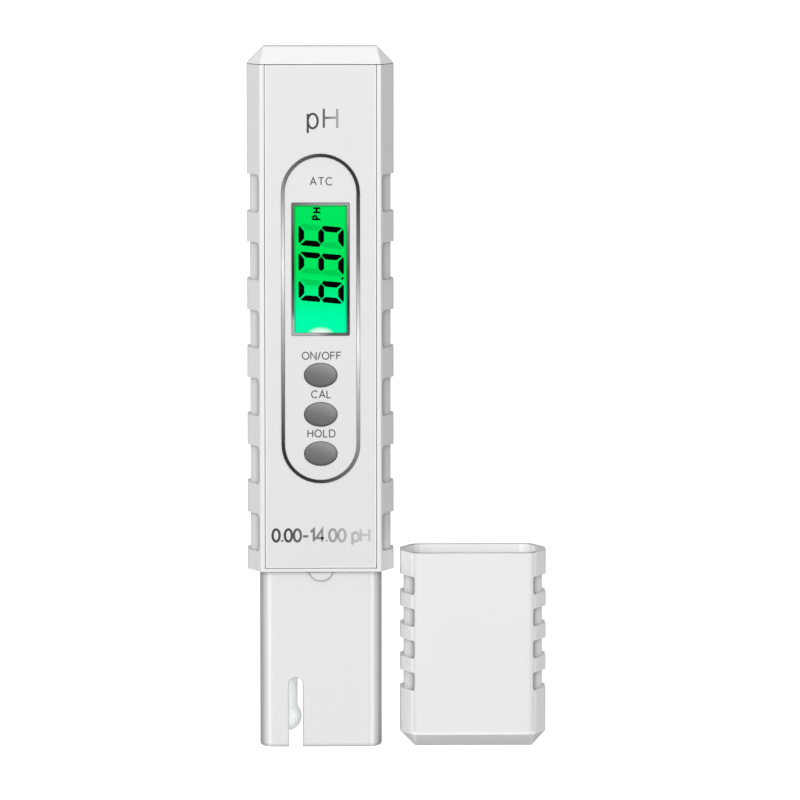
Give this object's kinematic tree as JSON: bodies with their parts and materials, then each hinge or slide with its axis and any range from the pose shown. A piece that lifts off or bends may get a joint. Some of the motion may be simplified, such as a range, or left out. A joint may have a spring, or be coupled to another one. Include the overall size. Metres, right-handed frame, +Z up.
{
  "type": "digital ph meter",
  "caption": "Pen-shaped digital pH meter with a lit display, three keys, a glass electrode in a slotted sleeve, and its protective cap standing beside it.",
  "frame": {"origin": "on the surface that the meter and its cap stand on, midway between the two", "axes": "+Z up along the meter, from the probe end to the battery cap; the display faces -Y; the cap stands towards +X"},
  "size_m": [0.064, 0.0176, 0.15],
  "materials": {
    "housing": "satin moulded ABS",
    "face": "satin light grey",
    "chrome": "polished",
    "clear": "clear",
    "lcd": "backlit green",
    "milky": "milky",
    "black_plastic": "matte",
    "key_rubber": "satin",
    "black_rubber": "matte",
    "board": "solder mask",
    "steel": "plain",
    "brass": "plain",
    "silver": "silver wire",
    "glass": "clear",
    "ceramic": "porous ceramic",
    "epoxy": "satin",
    "red_wire": "insulation",
    "black_wire": "insulation",
    "white_wire": "insulation",
    "sponge": "open cell foam"
  },
  "bodies": {
    "meter": {"amplifier_chip": "black_plastic", "backlight_led": "milky", "battery_lead_negative": "black_wire", "battery_lead_positive": "red_wire", "capacitor": "black_plastic", "circuit_board": "board", "contact_plate": "black_plastic", "contact_spring_negative": "brass", "contact_spring_positive": "brass", "contact_strip_left": "black_rubber", "contact_strip_right": "black_rubber", "controller_chip": "black_plastic", "crystal": "steel", "display_bezel": "chrome", "display_window": "clear", "electrode_plug": "black_rubber", "electrode_wire": "silver", "faceplate": "face", "front_shell": "housing", "glass_electrode": "glass", "lcd_holder": "black_plastic", "lcd_panel": "lcd", "light_guide": "milky", "probe_sleeve": "housing", "rear_shell": "housing", "reference_junction": "ceramic", "reference_lead": "black_wire", "reference_plug": "black_rubber", "reference_wire": "silver", "sensor_holder": "epoxy", "shell_screw_lower_left": "steel", "shell_screw_lower_right": "steel", "shell_screw_upper_left": "steel", "shell_screw_upper_right": "steel", "signal_lead": "white_wire", "sleeve_seal": "black_rubber", "switch_body_cal": "steel", "switch_body_hold": "steel", "switch_body_on_off": "steel", "temperature_probe": "steel", "thermistor_bead": "epoxy", "thermistor_lead": "red_wire", "trim_ring": "chrome"},
    "key_on_off": {"button_on_off": "key_rubber", "switch_plunger_on_off": "black_plastic"},
    "key_cal": {"button_cal": "key_rubber", "switch_plunger_cal": "black_plastic"},
    "key_hold": {"button_hold": "key_rubber", "switch_plunger_hold": "black_plastic"},
    "battery_unit": {"battery_cap": "housing", "battery_cap_seal": "black_rubber", "battery_tray": "black_plastic", "button_cell_1": "steel", "button_cell_2": "steel", "button_cell_3": "steel", "button_cell_4": "steel", "cell_link": "brass"},
    "protective_cap": {"cap_shell": "housing", "cap_sponge": "sponge"}
  },
  "joints": [
    {"name": "key_on_off_press", "type": "slide", "parent": "meter", "child": "key_on_off", "axis": [0, 1, 0], "range_m": [0, 0.0007], "stiffness_N_per_m": 400, "springref_m": -0.001},
    {"name": "key_cal_press", "type": "slide", "parent": "meter", "child": "key_cal", "axis": [0, 1, 0], "range_m": [0, 0.0007], "stiffness_N_per_m": 400, "springref_m": -0.001},
    {"name": "key_hold_press", "type": "slide", "parent": "meter", "child": "key_hold", "axis": [0, 1, 0], "range_m": [0, 0.0007], "stiffness_N_per_m": 400, "springref_m": -0.001},
    {"name": "battery_pull", "type": "slide", "parent": "meter", "child": "battery_unit", "axis": [0, 0, 1], "range_m": [0, 0.02]},
    {"name": "cap_lift", "type": "slide", "parent": "meter", "child": "protective_cap", "axis": [0, 0, 1], "range_m": [0, 0.042]}
  ]
}
